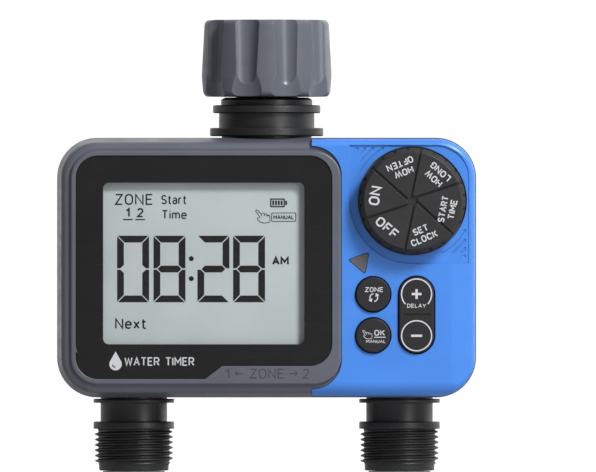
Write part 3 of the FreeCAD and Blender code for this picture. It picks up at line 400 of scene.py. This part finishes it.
# Width and lines of each character, whose capitals are 1 high.
CHARACTERS = {
    "A": (0.68, [[(0, 0), (0.34, 1), (0.68, 0)], [(0.12, 0.34), (0.56, 0.34)]]),
    "C": (0.62, [bow(*OVAL_TOP, 12, 180) + bow(*OVAL_LOW, 180, 348)]),
    "D": (0.62, [[(0, 0), (0, 1)] + bow(0.3, 0.68, 0.32, 0.32, 90, 0) + bow(0.3, 0.32, 0.32, 0.32, 0, -90)
                 + [(0, 0)]]),
    "E": (0.54, [[(0.54, 1), (0, 1), (0, 0), (0.54, 0)], [(0, 0.52), (0.46, 0.52)]]),
    "F": (0.52, [[(0.52, 1), (0, 1), (0, 0)], [(0, 0.5), (0.45, 0.5)]]),
    "G": (0.62, [bow(*OVAL_TOP, 12, 180) + bow(*OVAL_LOW, 180, 360) + [(0.62, 0.48), (0.36, 0.48)]]),
    "H": (0.62, [[(0, 0), (0, 1)], [(0.62, 0), (0.62, 1)], [(0, 0.5), (0.62, 0.5)]]),
    "I": (0.0, [[(0, 0), (0, 1)]]),
    "K": (0.6, [[(0, 0), (0, 1)], [(0.58, 1), (0, 0.36)], [(0.2, 0.58), (0.6, 0)]]),
    "L": (0.5, [[(0, 1), (0, 0), (0.5, 0)]]),
    "M": (0.76, [[(0, 0), (0, 1), (0.38, 0.36), (0.76, 1), (0.76, 0)]]),
    "N": (0.64, [[(0, 0), (0, 1), (0.64, 0), (0.64, 1)]]),
    "O": (0.62, [bow(*OVAL_TOP, 0, 180) + bow(*OVAL_LOW, 180, 360) + [(0.62, 0.69)]]),
    "R": (0.6, [[(0, 0), (0, 1)] + bow(0.32, 0.73, 0.27, 0.27, 90, -90) + [(0, 0.46)],
                [(0.3, 0.46), (0.6, 0)]]),
    "S": (0.58, [bow(0.29, 0.745, 0.28, 0.255, 22, 270) + bow(0.29, 0.245, 0.29, 0.245, 90, -158)]),
    "T": (0.6, [[(0, 1), (0.6, 1)], [(0.3, 1), (0.3, 0)]]),
    "U": (0.62, [[(0, 1)] + bow(*OVAL_LOW, 180, 360) + [(0.62, 1)]]),
    "W": (0.92, [[(0, 1), (0.22, 0), (0.46, 0.9), (0.70, 0), (0.92, 1)]]),
    "Y": (0.64, [[(0, 1), (0.32, 0.45), (0.64, 1)], [(0.32, 0.45), (0.32, 0)]]),
    "Z": (0.58, [[(0, 1), (0.58, 1), (0, 0), (0.58, 0)]]),
    "1": (0.3, [[(0, 0.72), (0.3, 1), (0.3, 0)]]),
    "2": (0.56, [bow(0.28, 0.72, 0.28, 0.28, 165, -32) + [(0, 0), (0.56, 0)]]),
    "a": (0.46, [bow(0.23, 0.49, 0.23, 0.21, 150, 0) + [(0.46, 0)],
                 [(0.46, 0.4), (0.18, 0.4)] + bow(0.18, 0.2, 0.18, 0.2, 90, 270) + [(0.3, 0), (0.46, 0.12)]]),
    "e": (0.5, [[(0, 0.37), (0.5, 0.37)] + bow(0.25, 0.45, 0.25, 0.25, 0, 180)
                + bow(0.25, 0.25, 0.25, 0.25, 180, 325)]),
    "i": (0.0, [[(0, 0), (0, 0.7)], [(0, 0.88), (0, 1)]]),
    "m": (0.78, [[(0, 0), (0, 0.7)], [(0, 0.4)] + bow(0.195, 0.5, 0.195, 0.2, 180, 0) + [(0.39, 0)],
                 [(0.39, 0.4)] + bow(0.585, 0.5, 0.195, 0.2, 180, 0) + [(0.78, 0)]]),
    "r": (0.32, [[(0, 0), (0, 0.7)], [(0, 0.35)] + bow(0.26, 0.42, 0.26, 0.28, 180, 75)]),
    "t": (0.34, [[(0.12, 0.95), (0.12, 0.14), (0.2, 0), (0.36, 0)], [(0, 0.7), (0.34, 0.7)]]),
    "x": (0.46, [[(0, 0), (0.46, 0.7)], [(0, 0.7), (0.46, 0)]]),
}
LETTER_GAP, WORD_GAP = 0.3, 0.36
SHARPEST_MITRE = 0.45                  # a corner reaches at most the half width divided by this
SAME_POINT = 1e-4


def add_ribbon(shaped, points, width, y_front, y_back):
    """Adds a closed prism that follows a line of points, which may end where it starts."""
    line = [points[0]] + [p for q, p in zip(points, points[1:]) if math.dist(p, q) > SAME_POINT]
    looped = math.dist(line[0], line[-1]) < SAME_POINT
    if looped:
        line.pop()
    count = len(line)
    sections = []
    for index, (x, z) in enumerate(line):
        before = line[index - 1] if looped or index else None
        after = line[(index + 1) % count] if looped or index < count - 1 else None
        normals = []
        for (x0, z0), (x1, z1) in ((before or (x, z), (x, z)), ((x, z), after or (x, z))):
            length = math.hypot(x1 - x0, z1 - z0)
            if length:
                normals.append(Vector((-(z1 - z0) / length, (x1 - x0) / length)))
        side = (normals[0] + normals[-1]).normalized()
        side *= width / 2 / max(SHARPEST_MITRE, side.dot(normals[0]))
        sections.append([shaped.verts.new(((x + sign * side.x) * MM, y * MM, (z + sign * side.y) * MM))
                         for sign, y in ((1, y_front), (-1, y_front), (-1, y_back), (1, y_back))])
    for index in range(count if looped else count - 1):
        low, high = sections[index], sections[(index + 1) % count]
        for k in range(4):
            shaped.faces.new((low[k], low[(k + 1) % 4], high[(k + 1) % 4], high[k]))
    if not looped:
        shaped.faces.new(sections[0][::-1])
        shaped.faces.new(sections[-1])


def lettering(name, text, centre, size, depths, material, body, slot, line, angle=0.0):
    """Text drawn with lines of one width, in a box of size (width, height) round centre."""
    widths = [WORD_GAP if c == " " else CHARACTERS[c][0] for c in text]
    total = sum(widths) + LETTER_GAP * (len(text) - 1)
    scale_z = size[1] - line
    scale_x = (size[0] - line) / total if total else scale_z
    shaped = bmesh.new()
    start = -total / 2
    for character, width in zip(text, widths):
        for points in CHARACTERS.get(character, (0, []))[1]:
            flat = [((start + x) * scale_x, (z - 0.5) * scale_z) for x, z in points]
            add_ribbon(shaped, turned_points(flat, angle, *centre), line, *depths)
        start += width + LETTER_GAP
    bmesh.ops.recalc_face_normals(shaped, faces=shaped.faces)
    mesh = bpy.data.meshes.new(name)
    shaped.to_mesh(mesh)
    shaped.free()
    return add_piece(name, mesh, material, body)


class Face:
    """A face for marks: its centre (x, z), the middle y of the marks, and what they belong to."""

    def __init__(self, x, z, y, material, body, slot, depth=INK_DEPTH):
        self.x, self.z = x, z
        self.depths = (y - depth / 2, y + depth / 2)
        self.finish = (material, body, slot)

    def sign(self, name, *loops):
        """Flat shape whose points count from the face's centre."""
        moved = [[(self.x + x, self.z + z) for x, z in loop] for loop in loops]
        plate(name, moved, *self.depths, *self.finish)

    def text(self, name, text, x, z, width, height, line, angle=0.0):
        """Text whose middle is at (x, z) from the face's centre."""
        lettering(name, text, (self.x + x, self.z + z), (width, height), self.depths, *self.finish,
                  line, angle)


def hand_lines(cx, cz, width):
    """Lines of a small pointing hand: cuff, palm, finger and thumb, drawn in a box 10 wide."""
    s = width / 10.0
    thickness = 0.55 * s
    around = [(-4.9, 3.7), (-4.1, 4.5), (-3.3, 4.1), (-0.9, 1.3), (-0.4, 2.2), (0.9, 2.3), (1.2, 1.5),
              (2.5, 1.8), (2.9, 1.0), (4.3, 0.9), (4.8, -0.4), (4.8, -3.8), (0.8, -4.6), (-2.0, -3.6),
              (-3.8, -1.9), (-3.4, -0.9), (-2.0, -1.2), (-2.3, 0.0)]
    knuckles = [[(-0.9, 1.3), (-0.6, 0.2)], [(1.2, 1.5), (1.0, 0.3)], [(2.9, 1.0), (2.7, 0.0)]]
    return [stroke([(cx + x * s, cz + z * s) for x, z in line], thickness)
            for line in [around + around[:1]] + knuckles]


# ---------------------------------------------------------------- display
def display_window():
    """Acrylic window: black printed border with a clear opening over the LCD."""
    radius = WINDOW_RADIUS
    step_z = WINDOW_BOTTOM + TAB_RISE
    outline = arc(WINDOW_RIGHT - radius, WINDOW_TOP - radius, radius, 0, 90)
    outline += arc(WINDOW_LEFT + radius, WINDOW_TOP - radius, radius, 90, 180)
    outline += arc(WINDOW_LEFT + radius, WINDOW_BOTTOM + radius, radius, 180, 270)
    outline += [(TAB_START_X, WINDOW_BOTTOM), (TAB_END_X, step_z)]
    outline += arc(WINDOW_RIGHT - radius, step_z + radius, radius, 270, 360)
    opening = rounded_rect(**SCREEN)
    border = plate("window_border", [outline, opening], WINDOW_FRONT, WINDOW_BACK, "window", "housing",
                   "window_plastic", bevel=0.12)
    plate("window_pane", [opening], WINDOW_FRONT + 0.15, WINDOW_FRONT + 0.35, "pane", "housing",
          "window_plastic")
    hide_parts("display_window")


SEGMENTS = {"0": "abcdef", "2": "abged", "8": "abcdefg"}


def figure_bars(figure, left, bottom, width, height, thick, gap):
    """Mitred bars of one seven-segment figure, with a gap at each joint."""
    right, top, middle = left + width, bottom + height, bottom + height / 2
    half = thick / 2
    blunt = 0.05                                           # taken off the tips next to the middle bar

    def level_bar(end, way):
        inner = end - way * thick
        return [(left + gap, end), (right - gap, end), (right - thick - gap, inner),
                (left + thick + gap, inner)]

    def upright_bar(side, inward, end, way):
        return [(side, end - way * gap), (side + inward * thick, end - way * (thick + gap)),
                (side + inward * thick, middle + way * (half + gap)),
                (side + inward * (half - blunt), middle + way * gap), (side, middle + way * gap)]

    bars = {
        "a": level_bar(top, 1), "d": level_bar(bottom, -1),
        "f": upright_bar(left, 1, top, 1), "b": upright_bar(right, -1, top, 1),
        "e": upright_bar(left, 1, bottom, -1), "c": upright_bar(right, -1, bottom, -1),
        "g": [(left + half + gap, middle), (left + thick + gap, middle + half),
              (right - thick - gap, middle + half), (right - half - gap, middle),
              (right - thick - gap, middle - half), (left + thick + gap, middle - half)],
    }
    return [bars[key] for key in SEGMENTS[figure]]


def lcd_time(lcd):
    """The time in large figures."""
    bars = []
    for left, figure in zip((-50.5, -38.2, -23.35, -11.3), "0828"):
        bars += figure_bars(figure, left, bottom=-11.7, width=10.8, height=22.5, thick=2.28, gap=0.24)
    lcd.sign("lcd_time_digits", *bars)
    lcd.sign("lcd_colon", *[arc(-25.45, z, 0.85, 0, 345, 23) for z in (3.05, -3.7)])


def lcd_captions(lcd):
    """Captions round the time, the half of the day, and the zone's two numbers, both underlined."""
    lcd.text("lcd_zone", "ZONE", -44.8, 23.05, 12.9, 3.75, 0.5)
    lcd.text("lcd_start", "Start", -31.3, 23.0, 8.6, 3.2, 0.46)
    lcd.text("lcd_time", "Time", -31.2, 17.95, 8.5, 3.1, 0.46)
    lcd.text("lcd_next", "Next", -45.9, -18.9, 10.6, 3.7, 0.56)
    lcd.text("lcd_am", "AM", 4.7, 2.25, 5.7, 2.9, 0.66)
    one_x, two_x, line_z, line_half = -46.9, -42.7, 16.25, 1.65
    lcd.text("lcd_one", "1", one_x, 18.6, 1.4, 3.2, 0.58)
    lcd.text("lcd_two", "2", two_x, 18.6, 2.2, 3.2, 0.58)
    lcd.sign("lcd_zone_lines", *[stroke([(x - line_half, line_z), (x + line_half, line_z)], 0.42)
                                 for x in (one_x, two_x)])


def lcd_battery(lcd):
    left, right, bottom, top, line = 1.2, 6.2, 20.4, 23.4, 0.45
    case = [rounded_rect(left, right, bottom, top, 0.3, 3),
            rounded_rect(left + line, right - line, bottom + line, top - line, 0.15, 3)]
    cell_left, cell_width, cell_pitch = left + 0.75, 0.65, 0.94
    cells = [rounded_rect(cell_left + cell_pitch * k, cell_left + cell_width + cell_pitch * k,
                          bottom + 0.7, top - 0.7, 0.1, 2) for k in range(4)]
    nub = rounded_rect(right + 0.1, right + 0.75, bottom + 0.8, top - 0.8, 0.1, 2)
    lcd.sign("lcd_battery", *case, *cells, nub)


def lcd_manual_mark(lcd):
    """Pointing hand and a boxed word."""
    left, right, bottom, top, line = 1.6, 10.0, 15.5, 18.6, 0.25
    lcd.sign("lcd_hand", *hand_lines(-1.25, 17.3, 5.0))
    lcd.sign("lcd_manual_box", rounded_rect(left, right, bottom, top, 0.5, 4),
             rounded_rect(left + line, right - line, bottom + line, top - line, 0.35, 4))
    lcd.text("lcd_manual", "MANUAL", 5.8, 17.05, 7.0, 1.5, 0.3)


def lcd_contents():
    lcd = Face(0, MID_Z, LCD_FRONT - 0.025, "segment", "housing", "lcd_glass")
    lcd_time(lcd)
    lcd_captions(lcd)
    lcd_battery(lcd)
    lcd_manual_mark(lcd)


# ---------------------------------------------------------------- printed and engraved marks
def window_marks():
    """Plain drop sign and words under the screen."""
    window = Face(-51.0, MID_Z - 31.7, WINDOW_FRONT - 0.005, "white_ink", "housing", "window_plastic")
    drop = [(0, 3.4)] + arc(0, -0.9, 2.1, 28, -208, 30)
    glint = arc(0, -0.9, 1.25, 190, 265, 10) + arc(0, -0.9, 0.85, 265, 190, 10)
    window.sign("drop_sign", drop, glint)
    window.text("timer_word", "WATER TIMER", 14.8, 0, 23.6, 2.9, 0.42)


def bezel_marks():
    """Zone numbers, each with an arrow that points to its outlet's side."""
    bezel = Face(0, MID_Z - 35.8, BEZEL_FRONT + 0.005, "engraving", "housing", "grey_plastic",
                 ENGRAVING_DEPTH)
    for name, text, x, width in (("zone_figure_1", "1", -13.2, 1.3), ("zone_word", "ZONE", 0.2, 11.6),
                                 ("zone_figure_2", "2", 13.3, 2.2)):
        bezel.text(name, text, x, 0, width, 3.4, 0.42)
    shafts, heads = [], []
    for x, way in ((-9.2, -1), (9.1, 1)):
        shafts.append(stroke([(x - 1.3, 0), (x + 1.3, 0)], 0.35))
        heads.append(stroke([(x + way * 0.5, 0.8), (x + way * 1.35, 0), (x + way * 0.5, -0.8)], 0.35))
    bezel.sign("zone_arrow_0", *shafts)
    bezel.sign("zone_arrow_1", *heads)


def dial_marks():
    """White words on the six sectors. They turn with the dial."""
    dial = Face(DIAL_X, DIAL_Z, DIAL_FRONT - INK_DEPTH / 2, "white_ink", "dial", "black_plastic")
    small, off_height, on_height = 2.3, 3.3, 3.7
    # Name, text, distance from the dial's centre, angle of its place, angle it is turned by, width, height.
    words = [("long_how", "HOW", 10.3, 46.7, 138, 6.6, small), ("long", "LONG", 13.6, 46.3, 138, 8.0, small),
             ("often_how", "HOW", 10.0, 107.0, 202, 6.6, small),
             ("often", "OFTEN", 13.2, 109.0, 202, 9.4, small),
             ("set", "SET", 10.2, 285.3, 23, 5.4, small), ("clock", "CLOCK", 13.3, 287.2, 23, 9.4, small),
             ("start", "START", 10.7, 344.8, 79, 9.0, small), ("time", "TIME", 13.8, 347.6, 79, 6.7, small),
             ("on", "ON", 12.8, 172.3, 81, 6.4, on_height), ("off", "OFF", 12.5, 226.6, 319, 8.6, off_height)]
    for name, text, distance, place, turn, width, height in words:
        x, z = distance * math.cos(math.radians(place)), distance * math.sin(math.radians(place))
        dial.text("dial_word_" + name, text, x, z, width, height, 0.1 + 0.14 * height, turn)


def key_face(node, body):
    """The front of a key, for its white marks."""
    (left, front, bottom), (right, _, top) = box_mm(node)
    return Face((left + right) / 2, (bottom + top) / 2, front - INK_DEPTH / 2, "white_ink", body,
                "black_plastic")


def key_text(face, name, text, x, z, width, height):
    face.text(name, text, x, z, width, height, 0.17 * height)


def zone_key_marks():
    """A word over two arrows that chase each other round a circle."""
    face = key_face("zone_key", "zone_button")
    key_text(face, "key_zone_word", "ZONE", 0.3, 1.6, 6.2, 1.65)
    sweep_angle = 110
    for index, start in enumerate((95, 275)):
        sweep = arc(0.2, -1.1, 1.3, start, start + sweep_angle, 12)
        head = turned_points([(-0.75, 0), (0.75, 0), (0, 1.1)], start + sweep_angle, *sweep[-1])
        face.sign(f"key_zone_turn_{index}", stroke(sweep, 0.38))
        face.sign(f"key_zone_head_{index}", head)


def ok_key_marks():
    """A pointing hand, and two words with a line between them."""
    face = key_face("ok_key", "ok_button")
    key_text(face, "key_ok_word", "OK", 2.15, 0.9, 3.6, 1.95)
    key_text(face, "key_manual_word", "MANUAL", 0.9, -2.0, 6.6, 1.1)
    face.sign("key_ok_line", stroke([(0.3, -0.6), (4.2, -0.6)], 0.3))
    face.sign("key_hand", *hand_lines(-2.0, 0.3, 3.3))


def rocker_marks():
    """Plus and minus, each in a circle; the upper circle is open where the word stands."""
    face = key_face("delay_rocker", "delay_button")
    radius, width, reach_z = 5.08, 0.43, 7.05
    face.sign("rocker_plus_circle", stroke(arc(0, reach_z, radius, -42, 222, 60), width))
    face.sign("rocker_minus_circle", *ring(0, -reach_z, radius, width, 59))
    face.sign("rocker_plus", cross_outline(0, reach_z, 1.65, 0.4))
    face.sign("rocker_minus", rounded_rect(-1.85, 1.85, -reach_z - 0.39, -reach_z + 0.39, 0.05, 1))
    key_text(face, "rocker_delay_word", "DELAY", 0.0, 3.1, 6.4, 1.35)


# ---------------------------------------------------------------- threaded outlets
CREST_R, ROOT_R, PITCH = 13.22, 12.06, 1.814
THREAD_TOP, THREAD_LOW, THREAD_STEP = 14.0, 1.9, 0.1       # heights above the outlet's tip
SEAT_R, FLANGE_R, NECK_R, STEM_R, TIP_R = 13.5, 13.7, 11.3, 9.15, 11.8
BORE_R, STEM_BORE_R = 8.5, 6.0


def thread_height(along):
    """0 at the root and 1 at the crest, for a height measured along the helix."""
    phase = (along / PITCH) % 1.0
    return min(1.0, max(0.0, (abs(phase - 0.5) * 2 - 0.30) / 0.46))


def threaded_radius(r, above_tip, z, angle):
    """Radius of the thread at a height and an angle. It runs out at both ends."""
    fade_top = min(1.0, max(0.0, (THREAD_TOP - above_tip) / 0.9))
    fade_low = min(1.0, max(0.0, (above_tip - THREAD_LOW) / 1.3))
    lead_in = 0.35 + 0.65 * fade_low
    height = thread_height(z - PITCH * angle / (2 * math.pi))
    return r - 0.2 * (1 - fade_low) + (CREST_R - ROOT_R) * height * fade_top * fade_low * lead_in


def lathe(name, profile, axis_x, steps, radius_at, material, body):
    """Closed turned piece; radius_at(r, z, angle) may vary the profile's radius round the axis."""
    points = []
    for step in range(steps):
        angle = 2 * math.pi * step / steps
        for r, z in profile:
            radius = radius_at(r, z, angle)
            points.append(((axis_x + radius * math.cos(angle)) * MM, radius * math.sin(angle) * MM, z * MM))
    count = len(profile)
    faces = []
    for step in range(steps):
        here, there = step * count, (step + 1) % steps * count
        for k in range(count):
            k2 = (k + 1) % count
            faces.append((here + k, there + k, there + k2, here + k2))
    mesh = bpy.data.meshes.new(name)
    mesh.from_pydata(points, [], faces)
    shaped = bmesh.new()
    shaped.from_mesh(mesh)
    bmesh.ops.recalc_face_normals(shaped, faces=shaped.faces)
    shaped.to_mesh(mesh)
    shaped.free()
    for polygon in mesh.polygons:
        polygon.use_smooth = True
    piece = add_piece(name, mesh, material, body)
    piece.modifiers.new("sharp_edges", "EDGE_SPLIT").split_angle = math.radians(28)
    return piece


def rounded_profile(points, rounds, steps=4):
    """Profile with chosen corners rounded; rounds maps a corner's index to its radius."""
    out = []
    for index, (r, z) in enumerate(points):
        if index not in rounds:
            out.append((r, z))
            continue
        here = Vector((r, z))
        before = Vector(points[index - 1]) - here
        after = Vector(points[(index + 1) % len(points)]) - here
        size = rounds[index]
        start, end = here + before.normalized() * size, here + after.normalized() * size
        for k in range(steps + 1):
            t = k / steps
            out.append(tuple(start * (1 - t) ** 2 + here * 2 * t * (1 - t) + end * t * t))
    return out


def outlets():
    """Hose outlets with a true helical thread."""
    for side in ("left", "right"):
        (left, _, tip), (right, _, top) = box_mm(side + "_outlet")
        thread_top, thread_low = tip + THREAD_TOP, tip + THREAD_LOW
        rings = [(ROOT_R, thread_top - THREAD_STEP * k)
                 for k in range(int((thread_top - thread_low) / THREAD_STEP) + 1)]
        upper = [(STEM_BORE_R, top), (STEM_R, top), (STEM_R, tip + 29.6), (SEAT_R, tip + 29.6),
                 (SEAT_R, tip + 27.6), (NECK_R, tip + 27.6), (NECK_R, tip + 24.3), (FLANGE_R, tip + 24.3),
                 (FLANGE_R, tip + 23.0), (NECK_R, tip + 23.0), (NECK_R, tip + 16.6),
                 (FLANGE_R, tip + 16.6), (FLANGE_R, thread_top)]
        upper = rounded_profile(upper, {7: 0.3, 8: 0.3, 9: 0.25, 10: 0.25, 11: 0.4, 12: 0.4})
        lower = [(TIP_R, thread_low - 0.2), (TIP_R, tip), (BORE_R, tip), (BORE_R, tip + 25.9),
                 (STEM_BORE_R, tip + 27.9)]
        lower = rounded_profile(lower, {1: 0.5, 2: 0.4})

        def radius_at(r, z, angle):
            return threaded_radius(r, z - tip, z, angle) if r == ROOT_R else r

        piece = lathe(side + "_outlet_threaded", upper + rings + lower, (left + right) / 2, 216, radius_at,
                      "fitting", "housing")
        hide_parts(side + "_outlet")


# ---------------------------------------------------------------- valves
def plunger_springs():
    """Copies of the two plunger springs that the record lists as deforming nodes, kept at their rest shape;
    all numbers in metres.
    """
    for joint in frame["record"]["behaviour"]["joints"]:
        for part in joint.get("deforming_nodes", []):
            node = part["node"]
            if not node.endswith("spring"):
                continue
            piece = add_piece(node + "_coil", NODES[node].data.copy(), "steel", "housing",
                              NODES[node].matrix_world)
            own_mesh(piece)
            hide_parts(node)


# ---------------------------------------------------------------- stage, lights and camera, in metres
def floor_material():
    n = Nodes("pale_floor")
    fine = n.ramp(n.noise(9.0, 4.0), 0.3, 0.7)
    n.give(n.bsdf, Base_Color=n.mix(fine, (0.44, 0.44, 0.45, 1), (0.47, 0.47, 0.48, 1)), Roughness=0.85)
    return n.material


def stage_disc(name, centre_x, radius, high, low, material):
    shaped = bmesh.new()
    face = shaped.faces.new([shaped.verts.new((x, y, low)) for x, y in arc(centre_x, 0, radius, 0, 358, 179)])
    raised = bmesh.ops.extrude_face_region(shaped, geom=[face])["geom"]
    corners = [item for item in raised if isinstance(item, bmesh.types.BMVert)]
    bmesh.ops.translate(shaped, verts=corners, vec=(0, 0, high - low))
    bmesh.ops.recalc_face_normals(shaped, faces=shaped.faces)
    mesh = bpy.data.meshes.new(name)
    shaped.to_mesh(mesh)
    shaped.free()
    mesh.materials.append(material)
    piece = bpy.data.objects.new(name, mesh)
    bpy.context.scene.collection.objects.link(piece)


def stage():
    """Round pale floor with a low pad under each outlet's tip."""
    material = floor_material()
    low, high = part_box("right_outlet")
    pad_x, pad_top = (low.x + high.x) / 2, low.z - 0.0002
    floor_z = pad_top - 0.012
    stage_disc("floor", 0, 0.75, floor_z, floor_z - 0.01, material)
    for index, x in enumerate((-pad_x, pad_x)):
        stage_disc(f"floor_pad_{index}", x, 0.0105, pad_top, floor_z + 0.0002, material)


def surroundings():
    """White wall behind the object and a grey room on the display's side, darker below and on the left."""
    world = bpy.data.worlds.new("studio")
    bpy.context.scene.world = world
    world.use_nodes = True
    nodes, links = world.node_tree.nodes, world.node_tree.links
    split = nodes.new("ShaderNodeSeparateXYZ")
    links.new(nodes.new("ShaderNodeTexCoord").outputs["Generated"], split.inputs[0])
    strength = None
    for axis, limits in (("Y", (-0.1, 0.55, 0.36, 1.25)), ("X", (-0.9, 0.9, 0.55, 1.15)),
                         ("Z", (-0.6, -0.05, 0.35, 1.0))):
        blend = nodes.new("ShaderNodeMapRange")
        blend.interpolation_type = "SMOOTHSTEP"
        for socket, number in zip(("From Min", "From Max", "To Min", "To Max"), limits):
            blend.inputs[socket].default_value = number
        links.new(split.outputs[axis], blend.inputs["Value"])
        if strength is None:
            strength = blend.outputs["Result"]
            continue
        product = nodes.new("ShaderNodeMath")
        product.operation = "MULTIPLY"
        links.new(strength, product.inputs[0])
        links.new(blend.outputs["Result"], product.inputs[1])
        strength = product.outputs[0]
    links.new(strength, nodes["Background"].inputs["Strength"])
    nodes["Background"].inputs["Color"].default_value = (1.0, 1.0, 1.0, 1.0)


def emitter(name, size, place, power, color):
    """Rectangular light that faces the middle of the housing."""
    aim = Vector((0.01, -0.02, -0.08))
    light = bpy.data.lights.new(name, "AREA")
    light.shape = "RECTANGLE"
    light.size, light.size_y = size
    light.energy = power
    light.color = color
    lamp = bpy.data.objects.new(name, light)
    bpy.context.scene.collection.objects.link(lamp)
    lamp.location = place
    lamp.rotation_euler = (aim - Vector(place)).to_track_quat("-Z", "Y").to_euler()


def lights():
    emitter("key", (0.34, 0.34), (0.68, -0.89, 0.79), 22.0, (1.0, 0.995, 0.985))
    emitter("side_strip", (0.26, 0.9), (0.50, -0.71, -0.06), 3.1, (1.0, 1.0, 1.0))


def camera():
    """Long lens that looks straight on, with its centre line through (aim_x, aim_z)."""
    width_seen, distance = 0.2013514, 6.0
    aim_x, aim_z = 0.01064, -0.0733
    data = bpy.data.cameras.new("camera")
    data.sensor_width = 36.0
    data.lens = data.sensor_width * distance / width_seen
    data.clip_end = 20.0
    viewer = bpy.data.objects.new("camera", data)
    bpy.context.scene.collection.objects.link(viewer)
    viewer.location = (aim_x, BEZEL_FRONT * MM - distance, aim_z)
    viewer.rotation_euler = (math.radians(90), 0, 0)
    bpy.context.scene.camera = viewer
    bpy.context.scene.view_settings.view_transform = "Standard"


paint_nodes()
display_window()
lcd_contents()
window_marks()
bezel_marks()
dial_marks()
zone_key_marks()
ok_key_marks()
rocker_marks()
outlets()
plunger_springs()
stage()
surroundings()
lights()
camera()
